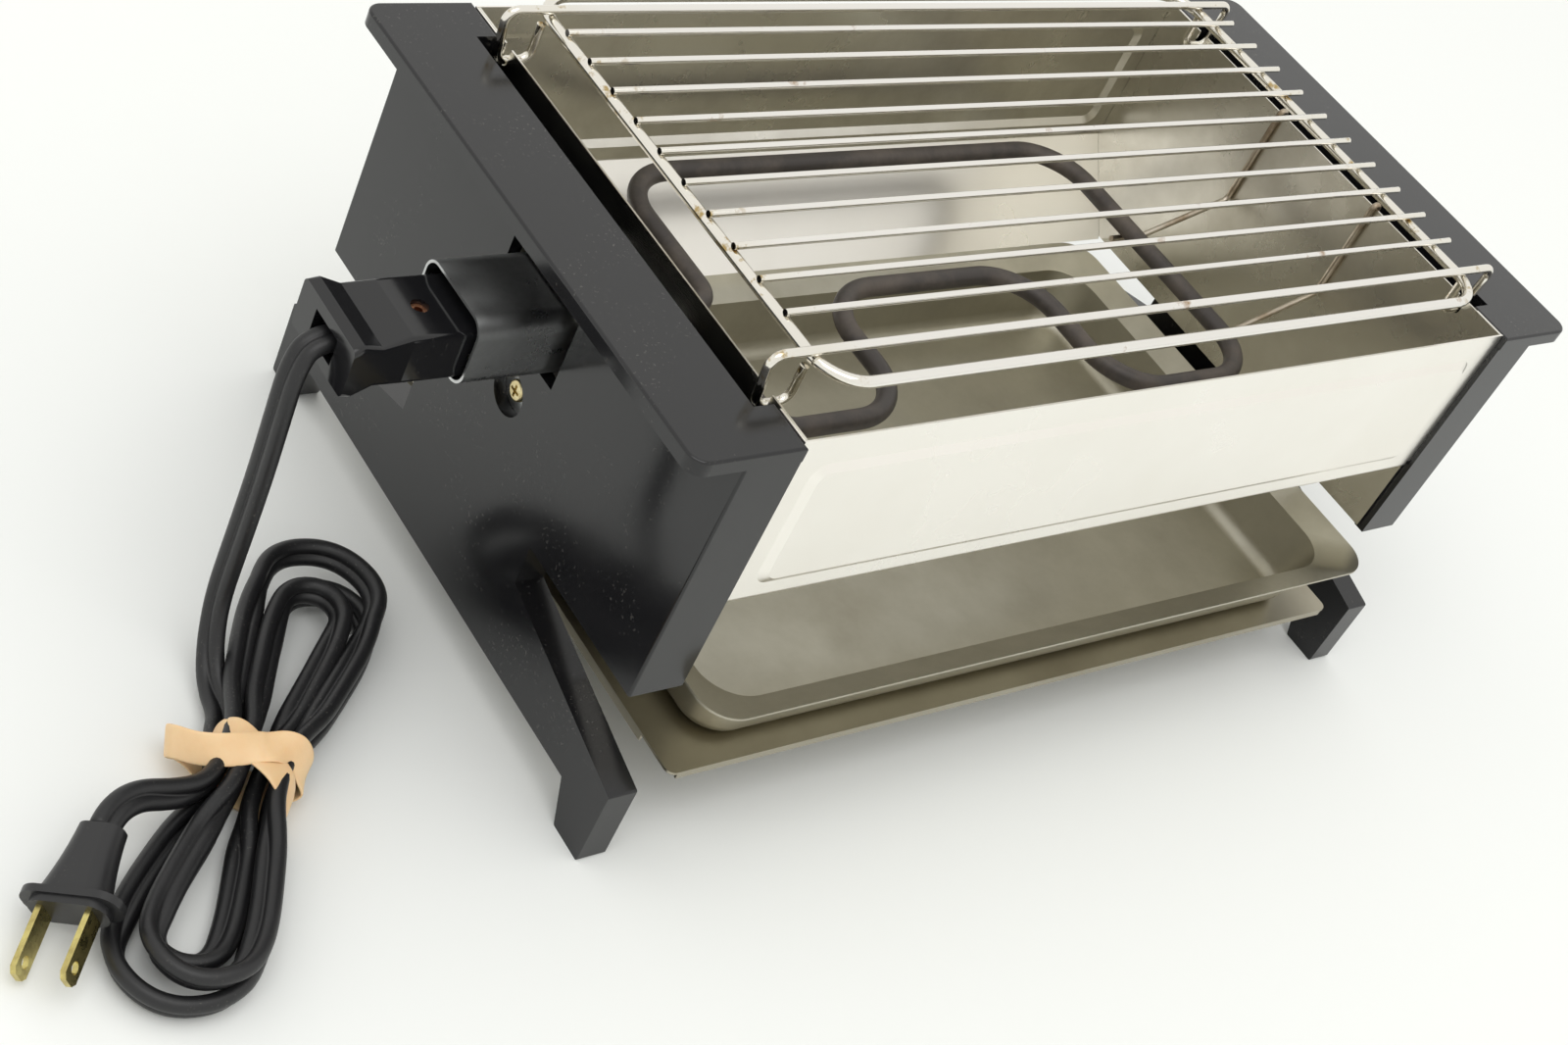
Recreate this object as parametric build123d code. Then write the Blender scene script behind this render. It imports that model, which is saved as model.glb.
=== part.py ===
from build123d import *
import math
import os

# Electric indoor grill, in millimetres.
# X runs along the body with the cord at -X, the front is at -Y and Z is up.
# The pieces are drawn about the body's own centre on the table. At the end they
# are moved so that the grill without its cord stands centred on the origin.

# Driving dimensions of the body
flange_length = 355.6
flange_depth = 177.8
flange_top = 144.2
flange_thick = 4.6
flange_inner = 143.7
flange_corner = 5.0
panel_wall = 4.0
wall_outer = 161.0
wall_bottom = 56.8
strip_face = 88.6
strip_thick = 4.0
panel_edge_round = 0.8
vent_half = 73.2
vent_outer = 150.6
gap = 0.1

# Legs under the end panels
leg_thick = 9.45
neck_half = 34.4
neck_bottom = 43.1
foot_front = 98.4
foot_top = 27.0
foot_back = 85.7
bar_bottom = 14.6
bar_half = 80.4

# Stainless sheets
sheet = 0.6
sheet_face = 86.9
sheet_end = 143.5
sheet_bottom = 87.0
sheet_bend = 1.8
apron_y = 63.0
apron_z = 56.8
sheet_return = 12.0
field_half = 135.8
field_low = 92.0
field_high = 135.0
field_raise = 1.3
field_slope = 2.5
field_corner = 5.0
liner_bottom = 58.0
liner_foot = 11.0
liner_foot_half = 66.0
notch_width = 3.4
notch_depth = 6.0

# Screws that hold the liners, the tray and the plug shield
screw_shank = 3.5
screw_head = 6.4
screw_head_height = 2.0
screw_slot_length = 0.6
screw_slot_width = 0.14
screw_slot_depth = 0.6
screw_head_round = 0.45
liner_screw_y = 56.0
liner_screw_x = 150.0
liner_screw_length = 10.0
boss_width = 12.0
boss_height = 14.0
tray_screw_y = 12.0
tray_screw_length = 9.0

# Base tray
tray_top = 28.0
tray_sheet = 0.8
tray_half_x = 140.3
tray_half_y = 96.6
tray_corner = 3.0
tray_hem = 2.5
tray_flange = 3.0
tray_flange_half = 81.5
ear_half = 19.0
ear_relief = 1.0
ear_reach = 9.0
ear_screw_part = 0.62
ledge_gap = 0.9

# Drip pan, drawn out to the front as it stands at rest
pan_drawn_out = 17.3
pan_rim_z = 53.2
pan_half_x = 138.6
pan_depth = 167.7
pan_rim_width = 9.1
pan_rim_drop = 4.2
pan_rim_corner = 11.0
pan_mouth_corner = 14.0
pan_draft = 3.5
pan_sheet = 0.7
pan_bend = 5.0
pan_clearance = 0.2
pan_rim_slant = 1.12

# Cooking grid
frame_rod = 3.3
cross_rod = 2.0
foot_rod = 2.6
grid_rise = 9.1
grid_half_x = 133.0
grid_half_y = 78.6
grid_corner = 12.5
cross_count = 10
cross_pitch = 12.57
cross_centre = 2.15
cross_left = -133.8
cross_right = 139.5
foot_y = 68.6
foot_corner_x = 147.5
foot_leg_x = 145.8
foot_inner_x = 134.9
foot_bend = 3.6
grid_seat_gap = 0.3
weld_gap = 0.15

# Heating element and its support wires
element_rod = 6.2
element_z = 98.0
element_left = -90.0
element_right = 97.0
element_rear = 67.0
element_front = -46.5
inner_right = 34.5
inner_left = -50.0
inner_rear = 9.3
inner_start = -100.0
inner_front = -42.0
element_bend = 20.0
terminal_bend = 8.0
rise_start = -112.0
rise_end = -128.0
rise_bend = 18.0
wire_rod = 2.0
wire_y = 24.5
wire_hook = 8.0
wire_down = 107.5
wire_turn_x = 107.0
wire_end_x = 92.0
wire_gap = 0.05
wire_bend = 3.0

# Inlet: pins, block, bushings and the metal shield round them
pin_spacing = 17.5
pin_rod = 4.75
pin_z = 109.4
pin_tip = -180.0
element_end = -150.0
block_length = 8.0
bushing_hole = 10.2
bushing_flange = 13.0
bushing_length = 6.0
shield_width = 29.3
shield_height = 21.7
shield_z = 110.65
shield_sheet = 0.8
shield_corner = 5.0
shield_mouth = -188.0
shield_inner = -149.0
opening_half = 17.7
opening_margin = 0.5
access_hole = 14.0
access_y = -3.0
access_z = 85.0
tab_half = 8.0
tab_bottom = 78.0
shield_shank = 4.0
spacer_wall = 2.2
nut_flats = 7.0
nut_height = 3.0

# Cord connector, two shells with the parting plane at the pin height
shell_front = -166.0
shell_half_width = 12.0
shell_half_height = 7.7
shell_neck = -204.5
shell_round = 1.6
cord_pocket_play = 0.6
shell_groove = -213.5
shell_crest = -219.5
shell_end = -222.5
groove_half_height = 6.3
crest_half_height = 8.5
end_half_height = 7.6
grip_half_width = 14.3
cord_pocket_half = 6.0
cord_pocket_depth = 8.0
rivet_x = -197.3
rivet_hole = 5.0
rivet_sink = 2.0
rivet_tube = 3.6
rivet_bore = 2.4
rivet_rim = 0.5
contact_wall = 0.8
contact_front = -168.0
contact_back = -187.0
contact_tail = -201.0
contact_play = 0.1
contact_floor = 2.0
contact_tail_half_y = 1.5
contact_tail_half_z = 0.8

# Cord: a tube as wide as the flat cord. The points were chosen by hand.
cord_width = 7.0
cord_points = [
    (-214.5, 0.0, 109.4),
    (-225.3, 0.0, 109.4),
    (-229.6, -2.0, 102.0),
    (-230.4, -3.6, 88.0),
    (-229.6, -3.4, 68.0),
    (-230.1, -4.1, 50.0),
    (-230.3, -4.2, 36.0),
    (-231.0, -5.1, 25.5),
    (-232.4, -8.2, 17.5),
    (-234.2, -13.9, 10.0),
    (-235.8, -21.3, 5.9),
    (-237.1, -31.73, 5.2),
    (-242.9, -38.6, 5.2),
]

# Hank: loops about a straight axis, tied in at the waist
hank_heading = (-0.645, -0.764)
hank_low = 5.2
hank_step_up = 7.7
hank_step = 7.6
waist_step = 7.8
hank_inner = 8.4
hank_up = 65.0
hank_down = 55.0
hank_start = 9.0
waist_run = 7.0

# Wall plug
tail_run = 10.0
plug_tilt = 0.24
plug_side = 27.5
plug_tip_down = 79.0
plug_tip_z = 7.0
plug_roll = 28.0
plug_body_length = 19.0
plug_end_width = 12.0
plug_end_height = 8.0
plug_width = 18.5
plug_height = 10.5
plug_flange_width = 26.0
plug_flange_height = 12.0
plug_flange_thick = 2.0
plug_nose = 2.0
plug_shoulder = 2.0
blade_length = 17.5
blade_width = 6.35
blade_thick = 1.5
blade_spacing = 12.7
blade_hole = 3.2
blade_hole_from_tip = 4.0

# Rubber band round the waist
band_width = 12.0
band_thick = 1.0
band_loop = 9.0
band_slack = 0.4


def block(x0, x1, y0, y1, z0, z1):
    """A box between two corners."""
    return Pos((x0 + x1) / 2, (y0 + y1) / 2, (z0 + z1) / 2) * Box(x1 - x0, y1 - y0, z1 - z0)


def rod_x(x0, x1, y, z, diameter):
    """A round bar along X."""
    return Pos((x0 + x1) / 2, y, z) * Rot(0, 90, 0) * Cylinder(diameter / 2, abs(x1 - x0))


def rod_z(x, y, z0, z1, diameter):
    """A round bar along Z."""
    return Pos(x, y, (z0 + z1) / 2) * Cylinder(diameter / 2, abs(z1 - z0))


def swept(path, diameter):
    """A round section swept along a path."""
    section = Plane(origin=path @ 0, z_dir=path % 0) * Circle(diameter / 2)
    return sweep(section, path=path)


def rounded_slab(width, depth, corner, z):
    """A rounded rectangle lying flat at one height."""
    return Plane.XY.offset(z) * RectangleRounded(width, depth, corner)


# Sizes that follow from the ones above
flange_half_x = flange_length / 2
flange_half_y = flange_depth / 2
flange_bottom = flange_top - flange_thick
wall_inner = wall_outer - panel_wall
leg_inner = wall_outer - leg_thick
strip_inner = sheet_end + gap
liner_outer = sheet_end - sheet
liner_inner = liner_outer - sheet
liner_half_y = sheet_face - sheet - gap
apron_end = liner_inner - gap
grid_z = flange_top + grid_rise
foot_seat_z = flange_top - notch_depth
foot_low_z = foot_seat_z + grid_seat_gap + foot_rod / 2
pan_bottom = tray_top + pan_clearance
pan_centre_y = -pan_drawn_out
terminal_y = pin_spacing / 2


def end_panel(is_left):
    """Moulded end: wall, flange, return strips, neck, lower bar and legs, drawn at +X."""
    wall = block(wall_inner, wall_outer, -strip_face, strip_face, wall_bottom, flange_bottom)
    wall = fillet(wall.edges().filter_by(Axis.Z).group_by(Axis.X)[-1], panel_edge_round)
    flange_plan = Pos((flange_inner + flange_half_x) / 2, 0) * Rectangle(
        flange_half_x - flange_inner, flange_depth)
    corners = flange_plan.vertices().group_by(Axis.X)[-1]
    flange_plan = fillet(corners, flange_corner)
    flange = extrude(Plane.XY.offset(flange_bottom) * flange_plan, flange_thick)
    flange = fillet(flange.edges().group_by(Axis.Z)[-1], panel_edge_round)
    vent = block(flange_inner - 1, vent_outer, -vent_half, vent_half,
                 flange_bottom - 1, flange_top + 1)
    front_strip = block(strip_inner, wall_outer - panel_edge_round, -strip_face,
                        -strip_face + strip_thick, wall_bottom, flange_bottom)
    rear_strip = mirror(front_strip, Plane.XZ)
    outline = [(neck_half, wall_bottom + 1), (neck_half, neck_bottom), (foot_front, foot_top),
               (foot_front, 0), (foot_back, 0), (bar_half, bar_bottom)]
    outline += [(-y, z) for y, z in reversed(outline)]
    leg_plate = extrude(Plane.YZ.offset(leg_inner) * make_face(Polyline(*outline, close=True)),
                        leg_thick)
    leg_plate = fillet(leg_plate.edges().filter_by(Axis.X).group_by(Axis.Z)[0]
                       + leg_plate.edges().filter_by(Axis.X).filter_by(is_foot_top),
                       panel_edge_round)
    ledge = block(tray_half_x + ledge_gap, leg_inner, -ear_half, ear_half,
                  bar_bottom, tray_top - tray_sheet)
    panel = wall + flange - vent + front_strip + rear_strip + leg_plate + ledge
    for side in (-1, 1):
        y = side * liner_screw_y
        panel += block(liner_screw_x - boss_width / 2, wall_inner, y - boss_width / 2,
                       y + boss_width / 2, liner_bottom + sheet, liner_bottom + sheet + boss_height)
        panel -= rod_z(liner_screw_x, y, liner_bottom, liner_bottom + liner_screw_length + 1,
                       screw_shank + gap)
        y = side * tray_screw_y
        panel -= rod_z(tray_screw_x(), y, tray_top - tray_screw_length - 1, tray_top,
                       screw_shank + gap)
    if is_left:
        panel = mirror(panel, Plane.YZ)
        half_height = shield_height / 2 + opening_margin
        panel -= block(-wall_outer - 1, -wall_inner + 1, -opening_half, opening_half,
                       shield_z - half_height, shield_z + half_height)
        panel -= rod_x(-wall_outer - 1, -wall_inner + 1, access_y, access_z, access_hole)
    return panel


def is_foot_top(edge):
    """True for the two upper front and rear corners of the feet."""
    return abs(edge.center().Z - foot_top) < 0.01


def tray_screw_x():
    """Middle of the tray's ears, along X."""
    return tray_half_x + ear_reach * ear_screw_part


def side_sheet():
    """Rear sheet: raised field, end returns, and below the bend an apron that slopes in."""
    down = Vector(0, apron_y - sheet_face, apron_z - sheet_bottom).normalized()
    inward = Vector(0, down.Z, -down.Y) * sheet
    to_corner = (-sheet - inward.Y) / down.Y
    inner_corner = sheet_bottom + inward.Z + to_corner * down.Z
    profile = [(sheet_face, flange_top), (sheet_face, sheet_bottom), (apron_y, apron_z),
               (apron_y + inward.Y, apron_z + inward.Z), (sheet_face - sheet, inner_corner),
               (sheet_face - sheet, flange_top)]
    body = extrude(Plane.YZ * make_face(Polyline(*profile, close=True)), apron_end, both=True)
    for y, z, radius in ((sheet_face, sheet_bottom, sheet_bend),
                         (sheet_face - sheet, inner_corner, sheet_bend - sheet)):
        long_edges = body.edges().filter_by(Axis.X)
        body = fillet(long_edges.sort_by_distance((0, y, z))[0], radius)
    body += block(-sheet_end, sheet_end, sheet_face - sheet, sheet_face,
                  sheet_bottom + sheet_bend + gap, flange_top)
    for side in (-1, 1):
        inner = side * (sheet_end - sheet)
        outer = side * sheet_end
        body += block(min(inner, outer), max(inner, outer), sheet_face - sheet_return, sheet_face,
                      sheet_bottom + sheet_bend + gap, flange_top - gap)
    raised = field_block(0)
    hollow = field_block(-sheet)
    return body + raised - hollow


def field_block(shift):
    """Tapered block of the raised field, moved along Y by the sheet's thickness for the hollow."""
    width = 2 * field_half
    height = field_high - field_low
    middle = (field_high + field_low) / 2
    base_y = sheet_face + shift
    base = Plane(origin=(0, base_y, middle), x_dir=(1, 0, 0), z_dir=(0, 1, 0))
    top = Plane(origin=(0, base_y + field_raise, middle), x_dir=(1, 0, 0), z_dir=(0, 1, 0))
    low = base * RectangleRounded(width, height, field_corner)
    high = top * RectangleRounded(width - 2 * field_slope, height - 2 * field_slope,
                                  field_corner - field_slope / 2)
    tapered = loft([low, high])
    seat = Plane(origin=(0, base_y - 2 * sheet, middle), x_dir=(1, 0, 0), z_dir=(0, 1, 0))
    if shift == 0:
        return tapered
    return tapered + extrude(seat * RectangleRounded(width, height, field_corner), 2 * sheet)


def end_liner(is_left):
    """Inner end sheet with notches for the grid's feet and a foot that is screwed down."""
    plate = block(liner_inner, liner_outer, -liner_half_y, liner_half_y, liner_bottom, flange_top)
    foot = block(liner_inner, liner_outer + liner_foot, -liner_foot_half, liner_foot_half,
                 liner_bottom, liner_bottom + sheet)
    liner = plate + foot
    for side in (-1, 1):
        notch_floor = foot_seat_z + notch_width / 2
        liner -= block(liner_inner - 1, liner_outer + 1, side * foot_y - notch_width / 2,
                       side * foot_y + notch_width / 2, notch_floor, flange_top + 1)
        liner -= rod_x(liner_inner - 1, liner_outer + 1, side * foot_y, notch_floor, notch_width)
        liner -= rod_z(liner_screw_x, side * liner_screw_y, liner_bottom - 1,
                       liner_bottom + sheet + 1, screw_shank + gap)
    if is_left:
        liner = mirror(liner, Plane.YZ)
        for side in (-1, 1):
            liner -= rod_x(-liner_outer - 1, -liner_inner + 1, side * terminal_y, pin_z,
                           bushing_hole)
        liner -= rod_x(-liner_outer - 1, -liner_inner + 1, access_y, access_z,
                       shield_shank + gap)
    return liner


def pan_head_screw(length, shank, head, head_height):
    """Cross-head screw along -Z with the underside of its head at Z 0."""
    dome = Cylinder(head / 2, head_height, align=(Align.CENTER, Align.CENTER, Align.MIN))
    dome = fillet(dome.edges().group_by(Axis.Z)[-1], head_height * screw_head_round)
    body = dome + Pos(0, 0, -length / 2) * Cylinder(shank / 2, length)
    slot_depth = head_height * screw_slot_depth
    for turn in (0, 90):
        slot = Box(head * screw_slot_length, head * screw_slot_width, slot_depth * 2)
        body -= Pos(0, 0, head_height) * Rot(0, 0, turn) * slot
    return body


def liner_screws():
    """Four screws from below, through the liners' feet into the end panels' bosses."""
    screws = []
    for x in (-liner_screw_x, liner_screw_x):
        for y in (-liner_screw_y, liner_screw_y):
            screw = pan_head_screw(liner_screw_length, screw_shank, screw_head, screw_head_height)
            screws.append(Pos(x, y, liner_bottom) * Rot(180, 0, 0) * screw)
    return Compound(screws)


def base_tray():
    """Flat tray with front and rear hems, side flanges and one ear on each side."""
    plan = RectangleRounded(2 * tray_half_x, 2 * tray_half_y, tray_corner)
    tray = extrude(Plane.XY.offset(tray_top - tray_sheet) * plan, tray_sheet)
    for side in (-1, 1):
        y_out = side * tray_half_y
        y_in = side * (tray_half_y - tray_sheet)
        hem_half = tray_half_x - tray_corner
        tray += block(-hem_half, hem_half, min(y_in, y_out), max(y_in, y_out),
                      tray_top - tray_hem, tray_top - tray_sheet)
        x_out = side * tray_half_x
        x_in = side * (tray_half_x - tray_sheet)
        for end in (-1, 1):
            y_a = end * (ear_half + ear_relief)
            y_b = end * tray_flange_half
            tray += block(min(x_in, x_out), max(x_in, x_out), min(y_a, y_b), max(y_a, y_b),
                          tray_top - tray_flange, tray_top - tray_sheet)
        ear = block(min(x_in, x_out + side * ear_reach), max(x_in, x_out + side * ear_reach),
                    -ear_half + gap, ear_half - gap, tray_top - tray_sheet, tray_top)
        tray += ear
        for end in (-1, 1):
            tray -= rod_z(side * tray_screw_x(), end * tray_screw_y, tray_top - 2, tray_top + 1,
                          screw_shank + gap)
    return tray


def tray_screws():
    """Four screws that hold the tray's ears on the end panels' ledges."""
    screws = []
    for x in (-tray_screw_x(), tray_screw_x()):
        for y in (-tray_screw_y, tray_screw_y):
            screw = pan_head_screw(tray_screw_length, screw_shank, screw_head, screw_head_height)
            screws.append(Pos(x, y, tray_top) * screw)
    return Compound(screws)


def pan_surface(z_shift, grow, floor_bend):
    """Everything above one surface of the pan: its basin and the funnel of its sloping rim."""
    mouth_x = 2 * (pan_half_x - pan_rim_width + grow)
    mouth_y = pan_depth - 2 * pan_rim_width + 2 * grow
    mouth_z = pan_rim_z - pan_rim_drop + z_shift
    floor_z = pan_bottom + pan_sheet
    if grow > 0:
        floor_z = pan_bottom
    basin = loft([
        rounded_slab(mouth_x - 2 * pan_draft, mouth_y - 2 * pan_draft,
                     pan_mouth_corner - pan_draft / 2, floor_z),
        rounded_slab(mouth_x, mouth_y, pan_mouth_corner, mouth_z),
    ])
    basin = fillet(basin.edges().group_by(Axis.Z)[0], floor_bend)
    funnel = loft([
        rounded_slab(mouth_x, mouth_y, pan_mouth_corner, mouth_z),
        rounded_slab(2 * pan_half_x, pan_depth, pan_rim_corner, pan_rim_z + z_shift),
    ])
    return basin + funnel


def drip_pan():
    """Pressed pan: a shallow basin with a sloping rim."""
    rim_fall = pan_sheet * pan_rim_slant
    inside = pan_surface(0, 0, pan_bend)
    outside = pan_surface(-rim_fall, pan_sheet, pan_bend + pan_sheet)
    collar = extrude(rounded_slab(2 * pan_half_x, pan_depth, pan_rim_corner, pan_rim_z - rim_fall),
                     rim_fall)
    return Pos(0, pan_centre_y, 0) * (outside + collar - inside)


def grid_frame():
    """Closed rod frame of the grid."""
    corners = [(grid_half_x, -grid_half_y), (grid_half_x, grid_half_y),
               (-grid_half_x, grid_half_y), (-grid_half_x, -grid_half_y)]
    points = [(x, y, grid_z) for x, y in corners]
    return swept(FilletPolyline(*points, radius=grid_corner, close=True), frame_rod)


def grid_cross_rods():
    """Straight rods that lie on the side rods."""
    z = grid_z + (frame_rod + cross_rod) / 2
    first = cross_centre - cross_pitch * (cross_count - 1) / 2
    return Compound([rod_x(cross_left, cross_right, first + k * cross_pitch, z, cross_rod)
                     for k in range(cross_count)])


def grid_foot_rods():
    """Front and rear rods over the frame, bent down at both ends to stand in the notches."""
    z_top = grid_z + (frame_rod + foot_rod) / 2
    z_weld = grid_z - frame_rod / 2 - weld_gap
    half = [(foot_inner_x, z_weld), (foot_inner_x, foot_low_z), (foot_leg_x, foot_low_z),
            (foot_corner_x, z_top)]
    rods = []
    for y in (-foot_y, foot_y):
        points = [(x, y, z) for x, z in half]
        points += [(-x, y, z) for x, z in reversed(half)]
        rods.append(swept(FilletPolyline(*points, radius=foot_bend), foot_rod))
    return Compound(rods)


def heating_element():
    """One bent tube: an outer and an inner U, with both ends raised to the inlet."""
    flat = [(element_left, terminal_y, terminal_bend), (element_left, element_rear, element_bend),
            (element_right, element_rear, element_bend),
            (element_right, element_front, element_bend),
            (inner_right, element_front, element_bend), (inner_right, inner_rear, element_bend),
            (inner_left, inner_rear, element_bend), (inner_left, inner_front, element_bend),
            (inner_start, inner_front, terminal_bend), (inner_start, -terminal_y, terminal_bend)]
    points = [(element_end, terminal_y, pin_z), (rise_end, terminal_y, pin_z),
              (rise_start, terminal_y, element_z)]
    radii = [rise_bend, rise_bend]
    for x, y, bend in flat:
        points.append((x, y, element_z))
        radii.append(bend)
    points += [(rise_start, -terminal_y, element_z), (rise_end, -terminal_y, pin_z),
               (element_end, -terminal_y, pin_z)]
    radii += [rise_bend, rise_bend]
    return swept(FilletPolyline(*points, radius=radii), element_rod)


def support_wire(y):
    """Wire hooked over the right liner and bent in under the element's right arm."""
    outside = liner_outer + wire_rod / 2 + wire_gap
    inside = liner_inner - wire_rod / 2 - wire_gap
    top = flange_top + wire_rod / 2 + wire_gap
    low = element_z - (element_rod + wire_rod) / 2 - wire_gap
    bend = (outside - inside) / 2 - 0.02
    points = [(outside, y, top - wire_hook), (outside, y, top), (inside, y, top),
              (inside, y, wire_down), (wire_turn_x, y, low), (wire_end_x, y, low)]
    return swept(FilletPolyline(*points, radius=[bend, bend, wire_bend, wire_bend]), wire_rod)


def plug_shield():
    """Rounded rectangular tube through the left wall, with a tab inside that is screwed down."""
    outer = Plane.YZ.offset(shield_mouth) * Pos(0, shield_z) * RectangleRounded(
        shield_width, shield_height, shield_corner)
    inner = Plane.YZ.offset(shield_mouth) * Pos(0, shield_z) * RectangleRounded(
        shield_width - 2 * shield_sheet, shield_height - 2 * shield_sheet,
        shield_corner - shield_sheet)
    tube = extrude(outer - inner, shield_inner - shield_mouth)
    tab_out = -wall_inner + gap
    tab = block(tab_out, tab_out + shield_sheet, access_y - tab_half, access_y + tab_half,
                tab_bottom, shield_z - shield_height / 2 + shield_sheet)
    hole = rod_x(tab_out - 1, tab_out + shield_sheet + 1, access_y, access_z, shield_shank + gap)
    return tube + tab - hole


def shield_screw():
    """Screw through the shield's tab, the spacer and the liner, seen in the access hole."""
    length = wall_inner - gap - liner_inner + nut_height + 0.5
    screw = pan_head_screw(length, shield_shank, screw_head, screw_head_height)
    return Pos(-wall_inner + gap, access_y, access_z) * Rot(0, -90, 0) * screw


def shield_spacer():
    """Tube that keeps the shield's tab off the liner."""
    start = -wall_inner + gap + shield_sheet
    outer = rod_x(start, -liner_outer, access_y, access_z, shield_shank + 2 * spacer_wall)
    return outer - rod_x(start - 1, -liner_outer + 1, access_y, access_z, shield_shank + gap)


def shield_nut():
    """Hexagon nut on the screw, inside the liner."""
    plane = Plane(origin=(-liner_inner, access_y, access_z), x_dir=(0, 1, 0), z_dir=(1, 0, 0))
    nut = extrude(plane * RegularPolygon(nut_flats / 2, 6, major_radius=False), nut_height)
    return nut - rod_x(-liner_inner - 1, -liner_inner + nut_height + 1, access_y, access_z,
                       shield_shank + gap)


def terminal_block():
    """Ceramic block that fills the shield and holds the pins."""
    width = shield_width - 2 * shield_sheet - gap
    height = shield_height - 2 * shield_sheet - gap
    face = Plane.YZ.offset(element_end - block_length) * Pos(0, shield_z) * RectangleRounded(
        width, height, shield_corner - shield_sheet)
    body = extrude(face, block_length)
    for side in (-1, 1):
        body -= rod_x(element_end - block_length - 1, element_end + 1, side * terminal_y, pin_z,
                      pin_rod + gap)
    return body


def terminal_pins():
    """Two round pins, with rounded tips, in line with the element's ends."""
    pins = []
    for side in (-1, 1):
        pin = rod_x(pin_tip, element_end, side * terminal_y, pin_z, pin_rod)
        tip = pin.edges().group_by(Axis.X)[0]
        pins.append(fillet(tip, pin_rod * 0.3))
    return Compound(pins)


def element_bushings():
    """Ceramic bushings round the element's ends, in the left liner's holes."""
    bushings = []
    for side in (-1, 1):
        y = side * terminal_y
        start = -liner_outer - bushing_length / 2
        barrel = rod_x(start, start + bushing_length, y, pin_z, bushing_hole - gap)
        collar = rod_x(start, -liner_outer, y, pin_z, bushing_flange)
        bore = rod_x(start - 1, start + bushing_length + 1, y, pin_z, element_rod + gap)
        bushings.append(barrel + collar - bore)
    return Compound(bushings)


def connector_shell(is_upper):
    """One half of the connector: side profile cut to the plan, then hollowed for what it holds."""
    profile = [(shell_front, 0), (shell_front, shell_half_height),
               (shell_neck, shell_half_height), (shell_groove, groove_half_height),
               (shell_crest, crest_half_height), (shell_end, end_half_height), (shell_end, 0)]
    plan_half = [(shell_front, shell_half_width), (shell_neck, shell_half_width),
                 (shell_end, grip_half_width)]
    plan = plan_half + [(x, -y) for x, y in reversed(plan_half)]
    side_face = Plane.XZ * make_face(Polyline(*profile, close=True))
    tall = extrude(side_face, grip_half_width * 1.1, both=True)
    wide = extrude(make_face(Polyline(*plan, close=True)), crest_half_height * 1.2, both=True)
    shell = tall & wide
    long_edges = [edge for edge in shell.edges()
                  if edge.center().Z > end_half_height / 2
                  and abs(edge.center().Y) > shell_half_width - shell_round]
    shell = fillet(long_edges, shell_round)
    shell -= block(shell_end - 1, shell_end + cord_pocket_depth, -cord_pocket_half,
                   cord_pocket_half, -cord_width / 2 - cord_pocket_play,
                   cord_width / 2 + cord_pocket_play)
    sleeve = pin_rod + 2 * contact_play + 2 * contact_wall + 2 * contact_play
    for side in (-1, 1):
        y = side * terminal_y
        shell -= rod_x(contact_back - contact_play, shell_front + 1, y, 0, sleeve)
        slot_y = contact_tail_half_y + contact_play
        slot_z = contact_tail_half_z + contact_play
        shell -= block(contact_tail - contact_play, contact_back, y - slot_y, y + slot_y,
                       -slot_z, slot_z)
    shell -= rod_z(rivet_x, 0, -1, shell_half_height + 1, rivet_tube + gap)
    shell -= rod_z(rivet_x, 0, shell_half_height - rivet_sink, shell_half_height + 1,
                   rivet_hole)
    if not is_upper:
        shell = mirror(shell, Plane.XY)
    return Pos(0, 0, pin_z) * shell


def connector_rivet():
    """Copper eyelet through both shells, its rims sunk in the round recesses."""
    reach = shell_half_height - rivet_sink
    tube = rod_z(rivet_x, 0, -reach, reach, rivet_tube)
    for side in (-1, 1):
        z_in = side * reach
        z_out = side * (reach + rivet_rim)
        tube += rod_z(rivet_x, 0, min(z_in, z_out), max(z_in, z_out), rivet_hole - 2 * gap)
    bore = rod_z(rivet_x, 0, -reach - 1, reach + 1, rivet_bore)
    return Pos(0, 0, pin_z) * (tube - bore)


def connector_contacts():
    """Two sleeves that take the pins, each with a tail for its wire."""
    contacts = []
    bore = pin_rod + 2 * contact_play
    for side in (-1, 1):
        y = side * terminal_y
        sleeve = rod_x(contact_back, contact_front, y, pin_z, bore + 2 * contact_wall)
        tail = block(contact_tail, contact_back, y - contact_tail_half_y, y + contact_tail_half_y,
                     pin_z - contact_tail_half_z, pin_z + contact_tail_half_z)
        hole = rod_x(contact_back + contact_floor, contact_front + 1, y, pin_z, bore)
        contacts.append(sleeve + tail - hole)
    return Compound(contacts)


def cord_tube(points):
    """Tube through the points: straight runs joined by arcs as large as the runs allow."""
    places = [Vector(*point) for point in points]
    radii = []
    for before, here, after in zip(places, places[1:], places[2:]):
        run_in = here - before
        run_out = after - here
        half_turn = math.radians(run_in.get_angle(run_out)) / 2
        radii.append(0.45 * min(run_in.length, run_out.length) / math.tan(half_turn))
    print("cord radii", [round(radius, 1) for radius in radii])
    path = FilletPolyline(*points, radius=radii)
    tube = swept(path, cord_width)
    area = math.pi * cord_width ** 2 / 4
    print("cord length", round(path.length, 1), "volume ratio",
          round(tube.volume / (area * path.length), 4))
    return tube


# Frame of the hank: u runs up along its axis, v across it to the left
hank_along = Vector(-hank_heading[0], -hank_heading[1], 0).normalized()
hank_across = Vector(-hank_along.Y, hank_along.X, 0)
hank_entry = Vector(cord_points[-1][0], cord_points[-1][1], 0)
waist = hank_entry - hank_along * hank_start - hank_across * (1.5 * waist_step)


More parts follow.
